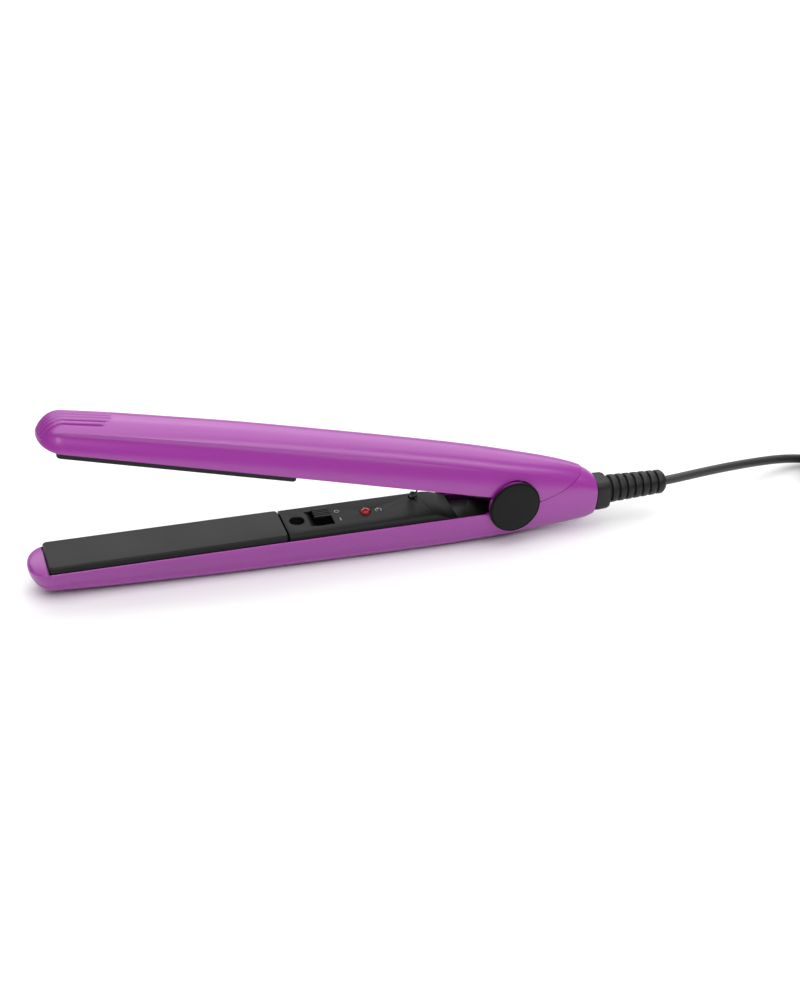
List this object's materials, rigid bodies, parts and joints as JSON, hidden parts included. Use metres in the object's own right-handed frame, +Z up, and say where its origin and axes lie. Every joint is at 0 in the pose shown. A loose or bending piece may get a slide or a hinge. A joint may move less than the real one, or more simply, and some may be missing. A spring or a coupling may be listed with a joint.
{
  "type": "hair straightener",
  "caption": "Small flat iron: two hinged arms with smooth heated plates, slide switch, power lamp and mains cord with plug.",
  "frame": {"origin": "middle of the iron's floor box, on the surface that it lies on, cord and plug left out", "axes": "+X from the tips towards the cord, +Y across the arms, away from the side that shows the near cap, +Z up"},
  "size_m": [0.4765, 0.0455, 0.0716],
  "materials": {
    "shell": "satin purple moulded plastic with a fine texture",
    "panel": "satin black moulded plastic",
    "slider": "glossy black plastic",
    "cap": "satin black disc with a plain face",
    "plate": "dark grey ceramic coating, satin",
    "tray": "heat-proof moulded plastic",
    "heater": "amber film over a flat ceramic heater",
    "spring_steel": "bare spring steel",
    "screw_steel": "zinc-plated steel",
    "bush": "turned brass",
    "board": "green circuit board",
    "lamp": "clear red moulded lens",
    "relief": "soft black moulded bushing",
    "cord": "black flexible cord jacket",
    "tie": "black wire tie",
    "plug": "black moulded plug",
    "blade": "nickel-plated brass",
    "lead": "silicone-covered wire",
    "cushion": "grey silicone"
  },
  "bodies": {
    "lower_arm": {"lower_housing": "shell", "lower_plate": "plate", "lower_heater": "heater", "lower_heater_clip": "spring_steel", "lower_plate_tray": "tray", "lower_panel": "panel", "panel_screw": "screw_steel", "switch_body": "panel", "circuit_board": "board", "power_lamp": "lamp", "thermal_cutoff": "screw_steel", "hinge_pin": "screw_steel", "hinge_cap_near": "cap", "hinge_cap_far": "cap", "opening_spring": "spring_steel", "strain_relief": "relief", "cable_end": "cord", "cord_clamp": "tray", "clamp_screw_near": "screw_steel", "clamp_screw_far": "screw_steel", "supply_lead_near": "lead", "supply_lead_far": "lead", "lower_heater_lead_near": "lead", "lower_heater_lead_far": "lead", "hinge_lead_near": "lead", "hinge_lead_far": "lead", "cord": "cord", "cord_hank": "cord", "hank_tie": "tie", "cord_end": "cord", "plug_body": "plug", "plug_blade_near": "blade", "plug_blade_far": "blade"},
    "switch_knob": {"switch_slider": "slider"},
    "upper_arm": {"upper_housing": "shell", "upper_plate_tray": "tray", "upper_panel": "panel", "plate_cushion_front": "cushion", "plate_cushion_rear": "cushion", "hinge_bush_near": "bush", "hinge_bush_far": "bush", "upper_heater_lead_near": "lead", "upper_heater_lead_far": "lead"},
    "floating_plate": {"upper_plate": "plate", "upper_heater": "heater", "upper_heater_clip": "spring_steel"}
  },
  "joints": [
    {"name": "arm_hinge", "type": "hinge", "parent": "lower_arm", "child": "upper_arm", "pos_m": [0.05964, 0, 0.01777], "axis": [0, -1, 0], "range_deg": [0, 14.43], "stiffness_Nm_per_rad": 0.5, "springref_deg": -14.32, "deforming": ["opening_spring"]},
    {"name": "switch_slide", "type": "slide", "parent": "lower_arm", "child": "switch_knob", "axis": [0, -1, 0], "range_m": [0, 0.0046]},
    {"name": "plate_float", "type": "slide", "parent": "upper_arm", "child": "floating_plate", "axis": [0.2311, 0, 0.9729], "range_m": [0, 0.0006], "stiffness_N_per_m": 8000, "springref_m": -0.0006, "deforming": ["plate_cushion_front", "plate_cushion_rear"]}
  ]
}
